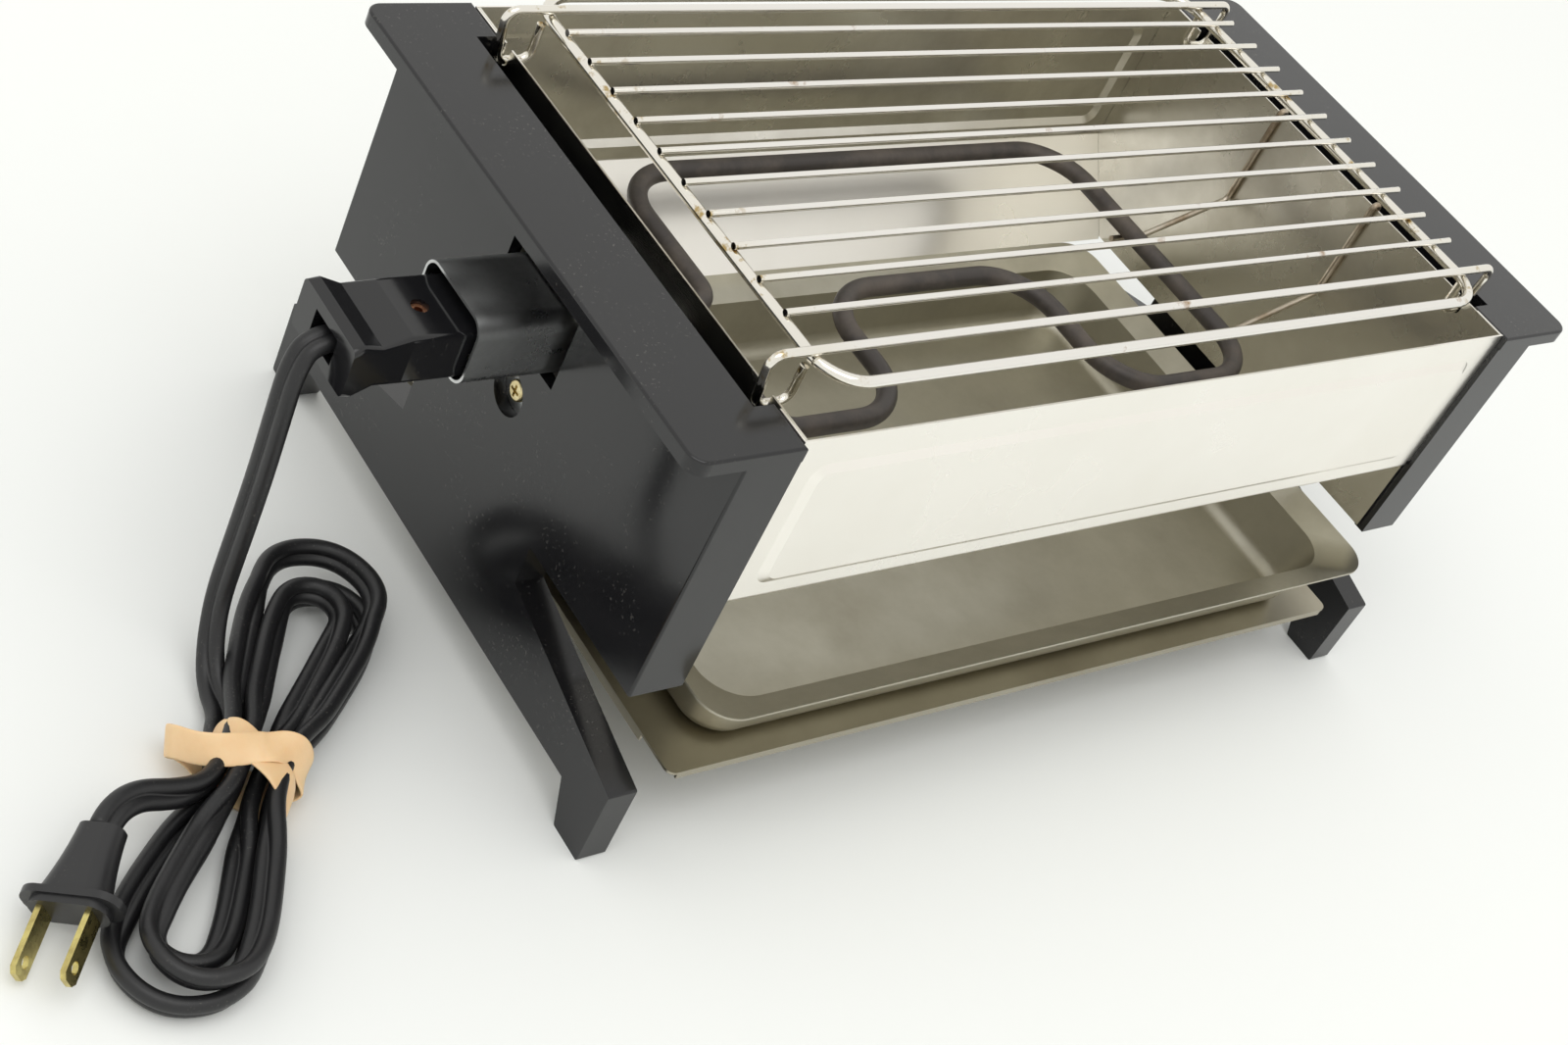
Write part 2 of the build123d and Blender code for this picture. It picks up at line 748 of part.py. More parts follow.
def hank_place(u, v, z):
    """A point of the hank in the body's frame."""
    return waist + hank_along * u + hank_across * v + Vector(0, 0, z)


def hank_stations():
    """Stations of the wound cord, each a place and a heading.

    Three loops: outer and inner on the lower layer, then inner and outer on the upper one. Each
    loop goes down the left side, round the lower tip, up the right side and round the upper tip.
    """
    low = hank_low
    high = hank_low + hank_step_up
    inner = hank_inner
    outer = hank_inner + hank_step
    near = waist_step / 2
    far = 1.5 * waist_step
    # lower left, lower right, waist right, upper right, upper left, waist left, and the heights
    loops = [
        (outer, outer, far, outer, inner, near, low, low),
        (inner, inner, near, inner, inner, near, low, high),
        (inner, outer, far, outer, outer, far, high, high),
    ]
    stations = [(hank_place(0, far, low), -hank_along)]
    for low_left, low_right, waist_right, up_right, up_left, waist_left, z_in, z_out in loops:
        tip = (low_left + low_right) / 2
        middle = (low_left - low_right) / 2
        stations += hank_waist_run(stations[-1])
        stations.append((hank_place(-hank_down, low_left, z_in), -hank_along))
        stations.append((hank_place(-hank_down - tip, middle, z_in), -hank_across))
        stations.append((hank_place(-hank_down, -low_right, z_in), hank_along))
        stations.append((hank_place(-waist_run, -waist_right, z_in), hank_along))
        stations += hank_waist_run(stations[-1])
        tip = (up_left + up_right) / 2
        middle = (up_left - up_right) / 2
        stations.append((hank_place(hank_up, -up_right, z_out), hank_along))
        stations.append((hank_place(hank_up + tip, middle, z_out), hank_across))
        stations.append((hank_place(hank_up, up_left, z_out), -hank_along))
        stations.append((hank_place(waist_run, waist_left, z_out), -hank_along))
    stations += hank_waist_run(stations[-1])
    return stations


def hank_waist_run(station):
    """The straight run through the rubber band, from the last station to its far side."""
    place, heading = station
    reached = (place - waist).dot(hank_along)
    goal = waist_run * (1 if heading.dot(hank_along) > 0 else -1)
    return [(place + hank_along * (goal - reached), heading)]


def biarc(start, start_heading, end, end_heading):
    """Two arcs that leave and arrive along the headings, or a line where both are in line."""
    gap_vector = end - start
    straight = gap_vector.normalized()
    if (straight - start_heading).length < 1e-6 and (straight - end_heading).length < 1e-6:
        return [Line(start, end)]
    both = start_heading + end_heading
    square = gap_vector.dot(gap_vector)
    along = gap_vector.dot(both)
    spread = 2 * (1 - start_heading.dot(end_heading))
    if spread < 1e-9:
        reach = square / (2 * along)
    else:
        reach = (-along + math.sqrt(along ** 2 + spread * square)) / spread
    first = start + start_heading * reach
    second = end - end_heading * reach
    middle = (first + second) * 0.5
    middle_heading = (second - first).normalized()
    return [TangentArc(start, middle, tangent=start_heading),
            TangentArc(middle, end, tangent=middle_heading)]


def hank_path():
    """The wound cord's centre line, from its entry to its exit, as one wire."""
    stations = hank_stations()
    first_place = Vector(*cord_points[-1])
    edges = [Line(first_place, stations[0][0])]
    for (start, start_heading), (end, end_heading) in zip(stations, stations[1:]):
        edges += biarc(start, start_heading, end, end_heading)
    return Wire(edges)


def least_gap(path):
    """Least clear distance between turns of the wound cord, measured on points."""
    count = int(path.length / 2.5)
    points = [path @ (k / count) for k in range(count + 1)]
    spacing = path.length / count
    apart = int(3 * cord_width / spacing)
    least = 1e9
    for i in range(len(points)):
        for j in range(i + apart, len(points)):
            least = min(least, (points[i] - points[j]).length)
    return least - cord_width


def cord_hank(path):
    """The wound hank as one unbroken tube."""
    tube = swept(path, cord_width)
    area = math.pi * cord_width ** 2 / 4
    print("hank length", round(path.length, 1), "volume ratio",
          round(tube.volume / (area * path.length), 4), "least gap", round(least_gap(path), 2))
    return tube


# Frame of the wall plug: its axis points to the blades' tips and down a little
plug_axis = (-hank_along * math.sqrt(1 - plug_tilt ** 2) - Vector(0, 0, plug_tilt)).normalized()
plug_tip = hank_place(-plug_tip_down, plug_side, plug_tip_z)
plug_length = plug_body_length + plug_flange_thick + plug_nose + blade_length
plug_entry = plug_tip - plug_axis * plug_length
plug_plane = Plane(origin=plug_entry, x_dir=-hank_across, z_dir=plug_axis)


def plug_local(shape):
    """Places a shape drawn along +Z, with the blades side by side along X, on the plug's axis."""
    return plug_plane * Rot(0, 0, plug_roll) * shape


def oval(width, height):
    """A rounded rectangle with nearly half-round ends."""
    return RectangleRounded(width, height, min(width, height) * 0.45)


def plug_body():
    """Moulded grip that widens to an oval finger flange, with a short nose."""
    grip = loft([oval(plug_end_width, plug_end_height),
                 Plane.XY.offset(plug_body_length * 0.6) * oval(plug_width * 0.8, plug_height * 0.9),
                 Plane.XY.offset(plug_body_length) * oval(plug_width, plug_height)])
    flange = extrude(Plane.XY.offset(plug_body_length) * oval(plug_flange_width,
                                                               plug_flange_height),
                     plug_flange_thick)
    nose_start = plug_body_length + plug_flange_thick
    nose = extrude(Plane.XY.offset(nose_start) * oval(plug_width + plug_shoulder, plug_height), plug_nose)
    return plug_local(grip + flange + nose)


def plug_blades():
    """Two flat blades, each with a round hole near its tip."""
    start = plug_body_length + plug_flange_thick + plug_nose
    blades = []
    for side in (-1, 1):
        plane = Plane.YZ.offset(side * blade_spacing / 2 - blade_thick / 2)
        outline = Pos(0, start + blade_length / 2) * Rectangle(blade_width, blade_length)
        outline = chamfer(outline.vertices().group_by(Axis.Y)[-1], blade_width * 0.22)
        hole = Pos(0, start + blade_length - blade_hole_from_tip) * Circle(blade_hole / 2)
        blades.append(plug_local(extrude(plane * (outline - hole), blade_thick)))
    return Compound(blades)


def rubber_band():
    """Flat band round the waist, with a small slack loop at its left."""
    half_v = 1.5 * waist_step + cord_width / 2 + band_slack
    z_low = hank_low - cord_width / 2 - band_slack
    z_high = hank_low + hank_step_up + cord_width / 2 + band_slack
    corner = cord_width / 2 + band_slack
    middle = waist + Vector(0, 0, (z_low + z_high) / 2)
    plane = Plane(origin=middle - hank_along * (band_width / 2), x_dir=hank_across,
                  z_dir=hank_along)
    inner = RectangleRounded(2 * half_v, z_high - z_low, corner)
    outer = RectangleRounded(2 * (half_v + band_thick), z_high - z_low + 2 * band_thick,
                             corner + band_thick)
    ring = extrude(plane * (outer - inner), band_width)
    loop_out = Ellipse(band_loop / 2 + band_thick, band_loop / 3 + band_thick)
    loop_in = Ellipse(band_loop / 2, band_loop / 3)
    loop_place = Pos(half_v + band_loop / 2 + band_thick * 1.2, 0)
    loop = extrude(plane * loop_place * (loop_out - loop_in), band_width * 0.6)
    return ring + loop


hank_centre_line = hank_path()
hank_exit = hank_centre_line @ 1
tail_points = [tuple(hank_exit), tuple(hank_exit - hank_along * tail_run),
               tuple(plug_entry - plug_axis * tail_run), tuple(plug_entry)]

pieces = {
    "left_end_panel": end_panel(True),
    "right_end_panel": end_panel(False),
    "front_panel": mirror(side_sheet(), Plane.XZ),
    "rear_panel": side_sheet(),
    "left_liner": end_liner(True),
    "right_liner": end_liner(False),
    "liner_screws": liner_screws(),
    "base_tray": base_tray(),
    "tray_screws": tray_screws(),
    "drip_pan": drip_pan(),
    "grid_frame": grid_frame(),
    "grid_cross_rods": grid_cross_rods(),
    "grid_foot_rods": grid_foot_rods(),
    "heating_element": heating_element(),
    "support_wire_front": support_wire(-wire_y),
    "support_wire_rear": support_wire(wire_y),
    "plug_shield": plug_shield(),
    "shield_screw": shield_screw(),
    "shield_spacer": shield_spacer(),
    "shield_nut": shield_nut(),
    "terminal_block": terminal_block(),
    "terminal_pins": terminal_pins(),
    "element_bushings": element_bushings(),
    "connector_upper_half": connector_shell(True),
    "connector_lower_half": connector_shell(False),
    "connector_rivet": connector_rivet(),
    "connector_contacts": connector_contacts(),
    "cord_stretch": cord_tube(cord_points),
    "cord_hank": cord_hank(hank_centre_line),
    "cord_tail": cord_tube(tail_points),
    "rubber_band": rubber_band(),
    "plug_body": plug_body(),
    "plug_blades": plug_blades(),
}

# The grill without its cord is centred on the origin
span_x = (shield_mouth + flange_half_x) / 2
span_y = (pan_centre_y - pan_depth / 2 + foot_front) / 2
os.makedirs("parts", exist_ok=True)
for name, piece in pieces.items():
    placed = Pos(-span_x, -span_y, 0) * piece
    placed.label = name
    export_step(placed, f"parts/{name}.step")
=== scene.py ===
import math

import bpy
import numpy as np
from mathutils import Matrix, Vector


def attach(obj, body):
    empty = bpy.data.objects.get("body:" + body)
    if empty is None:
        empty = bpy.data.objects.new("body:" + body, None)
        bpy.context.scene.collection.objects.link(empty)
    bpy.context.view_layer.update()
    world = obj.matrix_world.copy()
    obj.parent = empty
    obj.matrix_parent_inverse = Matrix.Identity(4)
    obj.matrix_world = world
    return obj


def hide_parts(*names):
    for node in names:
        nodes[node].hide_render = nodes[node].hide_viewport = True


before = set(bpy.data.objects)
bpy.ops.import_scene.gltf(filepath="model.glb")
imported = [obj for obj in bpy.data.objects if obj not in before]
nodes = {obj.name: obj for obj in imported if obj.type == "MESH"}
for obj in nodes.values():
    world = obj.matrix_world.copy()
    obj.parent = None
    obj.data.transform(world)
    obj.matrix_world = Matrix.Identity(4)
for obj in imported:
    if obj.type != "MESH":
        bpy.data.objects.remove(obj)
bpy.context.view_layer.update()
collection = bpy.context.scene.collection


# ---------------------------------------------------------------- camera
# Stands to the front left and above, where the photograph was taken from. Its three axes are given
# as they point in the room, and the lens's length is for a frame 36 mm wide.
view_axis = Vector((0.62394, 0.48242, -0.61479))
view_right = Vector((0.76927, -0.51766, 0.37452))
view_up = Vector((0.13757, 0.70662, 0.69410))
camera_data = bpy.data.cameras.new("camera")
camera_data.sensor_fit = "HORIZONTAL"
camera_data.sensor_width = 36.0
camera_data.lens = 55.62
camera_data.clip_start = 0.02
camera = bpy.data.objects.new("camera", camera_data)
collection.objects.link(camera)
turn = Matrix((view_right, view_up, -view_axis)).transposed().to_4x4()
camera.matrix_world = Matrix.Translation((-0.5084, -0.3773, 0.4869)) @ turn
bpy.context.scene.camera = camera
bpy.context.scene.view_settings.view_transform = "Standard"


# ---------------------------------------------------------------- heater cord
# Flat twin cord in black rubber: two conductors side by side with a deep groove between them.
# It leaves the connector, drops to the table and is wound there into a hank that ends at the plug.
centre_shift = np.array([0.0051, 0.001375, 0.0])
cord_drop = np.array([
    (-0.2145, 0.0, 0.1094),
    (-0.2253, 0.0, 0.1094),
    (-0.2296, -0.002, 0.102),
    (-0.2304, -0.0036, 0.088),
    (-0.2296, -0.0034, 0.068),
    (-0.2301, -0.0041, 0.050),
    (-0.2303, -0.0042, 0.036),
    (-0.2310, -0.0051, 0.0255),
    (-0.2324, -0.0082, 0.0175),
    (-0.2342, -0.0139, 0.0100),
    (-0.2358, -0.0213, 0.0059),
    (-0.2371, -0.03173, 0.0052),
    (-0.2429, -0.0386, 0.0052),
])
hank_along = np.array([0.645, 0.764, 0.0]) / math.hypot(0.645, 0.764)
hank_across = np.array([-hank_along[1], hank_along[0], 0.0])
half_waist = 0.0117
waist_run = 0.007
drop_beside = 0.009
waist = cord_drop[-1] * (1, 1, 0) - hank_along * drop_beside - hank_across * half_waist


def hank_place(u, v, z):
    """A point u along the hank's axis and v across it, at height z."""
    return waist + hank_along * u + hank_across * v + np.array([0.0, 0.0, z])


def hank_points():
    """Control points of the turns: down the left side, round the lower tip, up the right side and
    round the upper tip. Each tip is a blunt arch of three points and the waist is held straight.
    The strands fan out flat in the lobes and stand close together, on edge, in the band."""
    low, high = 0.0046, 0.0108
    band_low, band_high = 0.0048, 0.0124
    inner, outer = 0.0086, 0.0166
    near, far = 0.0026, 0.0078
    fan_below, fan_above, fan_share = 0.018, 0.020, 0.55
    before_arch = 0.006
    # The arch's points, as shares of its own half width
    arch_in, arch_out, arch_side = 0.62, 1.14, 0.94
    # For each turn: lower left, lower right, waist right, upper right, upper left, waist left,
    # the two heights, then how far down and up it reaches
    turns = [
        (outer, outer, far, outer, inner, near, low, low, 0.0560, 0.0630),
        (inner, inner, near, inner, inner, near, low, high, 0.0515, 0.0600),
        (inner, outer, far, outer, outer, far, high, high, 0.0550, 0.0675),
    ]
    points = []
    entry_v = far
    for (low_left, low_right, waist_right, up_right, up_left, waist_left, z_in, z_out,
         reach_down, reach_up) in turns:
        tip = (low_left + low_right) / 2
        side = (low_left - entry_v) * fan_share + entry_v
        middle_z = (z_in + z_out) / 2
        band_in = band_low if z_in == low else band_high
        band_out = band_low if z_out == low else band_high
        points += [hank_place(-waist_run, entry_v, band_in),
                   hank_place(-waist_run - fan_below, side, z_in),
                   hank_place(-reach_down + before_arch, low_left, z_in),
                   hank_place(-reach_down - arch_in * tip, arch_side * low_left, z_in),
                   hank_place(-reach_down - arch_out * tip, (low_left - low_right) / 2, z_in),
                   hank_place(-reach_down - arch_in * tip, -arch_side * low_right, z_in),
                   hank_place(-reach_down + before_arch, -low_right, z_in),
                   hank_place(-waist_run - fan_below, -(low_right + waist_right) / 2, z_in),
                   hank_place(-waist_run, -waist_right, band_in)]
        tip = (up_left + up_right) / 2
        points += [hank_place(waist_run, -waist_right, band_in),
                   hank_place(waist_run + fan_above, -(up_right + waist_right) / 2, middle_z),
                   hank_place(reach_up - before_arch, -up_right, z_out),
                   hank_place(reach_up + arch_in * tip, -arch_side * up_right, z_out),
                   hank_place(reach_up + arch_out * tip, (up_left - up_right) / 2, z_out),
                   hank_place(reach_up + arch_in * tip, arch_side * up_left, z_out),
                   hank_place(reach_up - before_arch, up_left, z_out),
                   hank_place(waist_run + fan_above, (up_left + waist_left) / 2, z_out),
                   hank_place(waist_run, waist_left, band_out)]
        entry_v = waist_left
    points.append(hank_place(-waist_run, entry_v, band_high))
    return points


plug_tilt = 0.24
plug_axis = -hank_along * math.sqrt(1 - plug_tilt ** 2) - np.array([0.0, 0.0, plug_tilt])
plug_front = hank_place(-0.079, 0.0275, 0.007)
plug_length = 0.0405
straight_end = 0.010
plug_entry = plug_front - plug_axis * plug_length
tail = [hank_place(-waist_run, half_waist, 0.0129) - hank_along * straight_end,
        plug_entry - plug_axis * straight_end, plug_entry]
route_points = np.array(list(cord_drop) + hank_points() + tail) + centre_shift

route_curve = bpy.data.curves.new("route", "CURVE")
route_curve.dimensions = "3D"
route_curve.resolution_u = 16
spline = route_curve.splines.new("NURBS")
spline.points.add(len(route_points) - 1)
spline.points.foreach_set("co", np.c_[route_points, np.ones(len(route_points))].ravel())
spline.order_u = 3
spline.use_endpoint_u = True
route = bpy.data.objects.new("route", route_curve)
collection.objects.link(route)
route_mesh = bpy.data.meshes.new_from_object(route)
line = np.zeros(len(route_mesh.vertices) * 3)
route_mesh.vertices.foreach_get("co", line)
line = line.reshape(-1, 3)
bpy.data.objects.remove(route)
bpy.data.meshes.remove(route_mesh)


def evenly(points, spacing):
    """The same line with its points a fixed spacing apart, and the distance run at each."""
    run = np.r_[0, np.cumsum(np.linalg.norm(np.diff(points, axis=0), axis=1))]
    at = np.linspace(0, run[-1], int(run[-1] / spacing) + 1)
    return np.stack([np.interp(at, run, points[:, k]) for k in range(3)], axis=1), at


def unit(vectors):
    """Each row made one long."""
    return vectors / np.linalg.norm(vectors, axis=1, keepdims=True)


def carried(points, first):
    """Sideways directions along a line: the first one is carried on without turning about it."""
    heading = unit(np.gradient(points, axis=0))
    sides = np.zeros_like(points)
    side = np.array(first, float)
    for k, ahead in enumerate(heading):
        side = side - ahead * side.dot(ahead)
        side = side / np.linalg.norm(side)
        sides[k] = side
    return heading, sides


def grid_mesh(name, rings, closed_u=False):
    """A mesh of a grid of points, rings x section. The section closes on itself, and the ends are
    closed with a flat face each unless the rings close too."""
    count, across = rings.shape[:2]
    ring = np.arange(count if closed_u else count - 1)[:, None]
    step = np.arange(across)[None, :]
    after, beside = (ring + 1) % count, (step + 1) % across
    quads = np.stack([ring * across + step, ring * across + beside,
                      after * across + beside, after * across + step], axis=-1).reshape(-1, 4)
    faces = quads.tolist()
    if not closed_u:
        faces.append(list(range(across))[::-1])
        faces.append([(count - 1) * across + k for k in range(across)])
    mesh = bpy.data.meshes.new(name)
    mesh.from_pydata(rings.reshape(-1, 3).tolist(), [], faces)
    mesh.polygons.foreach_set("use_smooth", np.ones(len(faces), bool))
    mesh.update()
    return mesh


def new_piece(name, mesh, body, material):
    """Links a finished mesh as a piece that rides on a body."""
    piece = bpy.data.objects.new(name, mesh)
    collection.objects.link(piece)
    mesh.materials.append(material)
    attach(piece, body)
    return piece


def new_material(name, color, roughness, metallic=0.0):
    """A Principled material with its plain values, and its nodes and links to build on."""
    material = bpy.data.materials.new(name)
    material.use_nodes = True
    tree = material.node_tree
    shader = tree.nodes["Principled BSDF"]
    shader.inputs["Base Color"].default_value = (*color, 1)
    shader.inputs["Roughness"].default_value = roughness
    shader.inputs["Metallic"].default_value = metallic
    return material, tree, shader


def add_node(tree, kind, values=None, **settings):
    """Adds a shader node, with its settings and its inputs' plain values."""
    node = tree.nodes.new(kind)
    for key, value in settings.items():
        setattr(node, key, value)
    for key, value in (values or {}).items():
        node.inputs[key].default_value = value
    return node


def object_place(tree, scale=(1, 1, 1)):
    """Object coordinates with a scale for each axis."""
    place = add_node(tree, "ShaderNodeTexCoord")
    scaling = add_node(tree, "ShaderNodeMapping", {"Scale": scale})
    tree.links.new(place.outputs["Object"], scaling.inputs["Vector"])
    return scaling.outputs["Vector"]


def group_of(name, inputs, outputs):
    """A new shader node group with its named sockets, and its input and output nodes."""
    group = bpy.data.node_groups.new(name, "ShaderNodeTree")
    for label, kind, value in inputs:
        socket = group.interface.new_socket(name=label, in_out="INPUT", socket_type=kind)
        if value is not None:
            socket.default_value = value
    for label, kind in outputs:
        group.interface.new_socket(name=label, in_out="OUTPUT", socket_type=kind)
    return group, group.nodes.new("NodeGroupInput"), group.nodes.new("NodeGroupOutput")


# Fine dust that settles in small specks, used on every black piece
dust, dust_in, dust_out = group_of("settled_dust", [
    ("Vector", "NodeSocketVector", None), ("Scale", "NodeSocketFloat", 600.0),
    ("Amount", "NodeSocketFloat", 0.5)], [("Mask", "NodeSocketFloat")])
specks = add_node(dust, "ShaderNodeTexNoise", {"Detail": 1.0})
patches = add_node(dust, "ShaderNodeTexNoise", {"Scale": 40.0, "Detail": 2.0})
sharp = add_node(dust, "ShaderNodeMapRange", {"From Min": 0.66, "From Max": 0.76})
broad = add_node(dust, "ShaderNodeMapRange", {"From Min": 0.42, "From Max": 0.68})
both = add_node(dust, "ShaderNodeMath", operation="MULTIPLY")
scaled = add_node(dust, "ShaderNodeMath", operation="MULTIPLY")
dust.links.new(dust_in.outputs["Vector"], specks.inputs["Vector"])
dust.links.new(dust_in.outputs["Scale"], specks.inputs["Scale"])
dust.links.new(dust_in.outputs["Vector"], patches.inputs["Vector"])
dust.links.new(specks.outputs["Fac"], sharp.inputs["Value"])
dust.links.new(patches.outputs["Fac"], broad.inputs["Value"])
dust.links.new(sharp.outputs["Result"], both.inputs[0])
dust.links.new(broad.outputs["Result"], both.inputs[1])
dust.links.new(both.outputs["Value"], scaled.inputs[0])
dust.links.new(dust_in.outputs["Amount"], scaled.inputs[1])
dust.links.new(scaled.outputs["Value"], dust_out.inputs["Mask"])

cord_black = (0.009, 0.009, 0.010)
rubber, rubber_tree, rubber_shader = new_material("cord_rubber", cord_black, 0.42)
rubber_place = object_place(rubber_tree)
rubber_dust = add_node(rubber_tree, "ShaderNodeGroup", {"Scale": 1500.0, "Amount": 0.45},
                       node_tree=dust)
rubber_mix = add_node(rubber_tree, "ShaderNodeMix",
                      {"A": (*cord_black, 1), "B": (0.20, 0.19, 0.17, 1)}, data_type="RGBA")
rubber_cloud = add_node(rubber_tree, "ShaderNodeTexNoise", {"Scale": 90.0, "Detail": 3.0})
rubber_rough = add_node(rubber_tree, "ShaderNodeMapRange", {"To Min": 0.34, "To Max": 0.52})
rubber_grain = add_node(rubber_tree, "ShaderNodeTexNoise", {"Scale": 900.0, "Detail": 2.0})
rubber_bump = add_node(rubber_tree, "ShaderNodeBump", {"Strength": 0.12, "Distance": 0.0003})
rubber_tree.links.new(rubber_place, rubber_dust.inputs["Vector"])
rubber_tree.links.new(rubber_place, rubber_cloud.inputs["Vector"])
rubber_tree.links.new(rubber_place, rubber_grain.inputs["Vector"])
rubber_tree.links.new(rubber_dust.outputs["Mask"], rubber_mix.inputs["Factor"])
rubber_tree.links.new(rubber_mix.outputs["Result"], rubber_shader.inputs["Base Color"])
rubber_tree.links.new(rubber_cloud.outputs["Fac"], rubber_rough.inputs["Value"])
rubber_tree.links.new(rubber_rough.outputs["Result"], rubber_shader.inputs["Roughness"])
rubber_tree.links.new(rubber_grain.outputs["Fac"], rubber_bump.inputs["Height"])
rubber_tree.links.new(rubber_bump.outputs["Normal"], rubber_shader.inputs["Normal"])

point_spacing = 0.0013
cord_line, cord_run = evenly(line, point_spacing)
cord_ahead, cord_side = carried(cord_line, (0, 1, 0))
# In the hank the cord stands on edge in the band and at the tips, and lies over on its flat
# side in between. It leans by an angle that rises and falls a little along the cord.
band_edge, lie_over = 0.008, 0.020
tip_reach, stand_up, least_lying = 0.074, 0.028, 0.35
mean_lean, lean_swing, swing_run, swing_start = 1.15, 0.25, 0.031, 0.6
upright = unit(np.array([0.0, 0.0, 1.0]) - cord_ahead * cord_ahead[:, 2:3])
from_band = np.abs((cord_line - waist - centre_shift) @ hank_along)
lying = (np.clip((from_band - band_edge) / lie_over, 0, 1)
         * np.clip((tip_reach - from_band) / stand_up, least_lying, 1))
lean = ((mean_lean + lean_swing * np.sin(cord_run / swing_run + swing_start))
        * lying * lying * (3 - 2 * lying))
leaning = upright * np.cos(lean)[:, None] + np.cross(cord_ahead, upright) * np.sin(lean)[:, None]
needed = np.arctan2((np.cross(cord_side, leaning) * cord_ahead).sum(1),
                    (cord_side * leaning).sum(1))
needed = np.unwrap(needed)
# The twist grows from nothing between two distances along the drop, by a smooth step
twist_from, twist_over = 0.100, 0.060
wound = np.clip((cord_run - twist_from) / twist_over, 0, 1)
wound = wound * wound * (3 - 2 * wound)
twist = needed * wound
cord_side = (cord_side * np.cos(twist)[:, None]
             + np.cross(cord_ahead, cord_side) * np.sin(twist)[:, None])
cord_thick = np.cross(cord_ahead, cord_side)
# Section: two overlapping circles, written as the distance from the middle for each angle
angle = np.linspace(0, 2 * math.pi, 28, endpoint=False)
circle_offset, circle_radius = 0.00180, 0.00225
section_reach = (circle_offset * np.abs(np.cos(angle))
                 + np.sqrt(circle_radius ** 2 - (circle_offset * np.sin(angle)) ** 2))
section = np.stack([section_reach * np.cos(angle), section_reach * np.sin(angle)], axis=1)
cord_rings = (cord_line[:, None, :] + cord_side[:, None, :] * section[None, :, 0:1]
              + cord_thick[:, None, :] * section[None, :, 1:2])
cord = new_piece("heater_cord", grid_mesh("heater_cord", cord_rings), "cord_set",
                 rubber)
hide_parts("cord_stretch", "cord_hank", "cord_tail")


# ---------------------------------------------------------------- rubber band
# A flat tan rubber band, wound twice round the hank's waist. It crosses itself on top and its
# slack stands out to the left as a small twisted loop.


def closed_curve(points, share):
    """Catmull-Rom curve through a ring of points: each span is the cubic whose slopes at its ends
    are half the step between the neighbours of that end. share runs from 0 to 1 round the ring."""
    count = len(points)
    at = share * count
    span = np.floor(at).astype(int) % count
    t = (at - np.floor(at))[:, None]
    before, here = points[(span - 1) % count], points[span]
    after, beyond = points[(span + 1) % count], points[(span + 2) % count]
    return 0.5 * (2 * here + (after - before) * t
                  + (2 * before - 5 * here + 4 * after - beyond) * t ** 2
                  + (3 * here - 3 * after + beyond - before) * t ** 3)


# Each row: u, v, z of the band's middle in millimetres, then the direction of its width
band_keys = np.array([
    (-2.0, 0.0, 0.9, 1, 0, 0),
    (-4.0, -7.5, 1.1, 1, 0, 0),
    (-6.0, -12.2, 8.0, 1, 0.0, -0.25),
    (-4.5, -8.0, 15.9, 1, -0.35, -0.1),
    (0.0, 0.0, 17.2, 0.9, 0.35, 0),
    (4.5, 8.0, 16.0, 1, 0.2, 0.1),
    (5.5, 12.0, 9.0, 1, 0, 0),
    (4.0, 7.5, 1.1, 1, 0, 0),
    (3.0, 0.0, 0.9, 1, 0, 0),
    (3.5, -8.0, 1.4, 1, 0, 0),
    (4.0, -13.4, 8.0, 0.9, 0.1, 0.5),
    (4.0, -9.0, 17.6, 0.85, -0.5, 0.3),
    (0.5, -1.0, 19.0, 0.8, -0.6, 0.1),
    (-3.5, 7.0, 18.0, 0.75, -0.1, 0.65),
    (-4.0, 14.0, 15.5, 0.55, 0.1, 0.8),
    (-2.0, 20.5, 12.5, 0.6, 0.15, 0.75),
    (1.0, 22.5, 8.5, 0.8, 0.3, 0.5),
    (3.0, 19.5, 5.2, 1, 0.1, -0.1),
    (1.0, 14.5, 4.8, 1, -0.1, -0.2),
    (-0.5, 8.5, 1.5, 1, 0, 0),
])
millimetre = 0.001
band_width, band_thick = 0.0086, 0.0010
share = np.linspace(0, 1, 420, endpoint=False)
band_local = closed_curve(band_keys, share)
axes = np.stack([hank_along, hank_across, np.array([0.0, 0.0, 1.0])])
band_line = waist + centre_shift + band_local[:, :3] @ axes * millimetre
band_ahead = unit(np.roll(band_line, -1, axis=0) - np.roll(band_line, 1, axis=0))
band_across = band_local[:, 3:] @ axes
band_across = unit(band_across - band_ahead * (band_across * band_ahead).sum(1, keepdims=True))
band_out = np.cross(band_ahead, band_across)
# Section: a flat strip with round edges, a circle whose cosine and sine are raised to a power
# below one, which squares it
square_width, square_thick = 0.35, 0.55
around = np.linspace(0, 2 * math.pi, 20, endpoint=False)
level, rise = np.cos(around), np.sin(around)
strip = np.stack([np.sign(level) * np.abs(level) ** square_width * band_width / 2,
                  np.sign(rise) * np.abs(rise) ** square_thick * band_thick / 2], axis=1)
band_rings = (band_line[:, None, :] + band_across[:, None, :] * strip[None, :, 0:1]
              + band_out[:, None, :] * strip[None, :, 1:2])

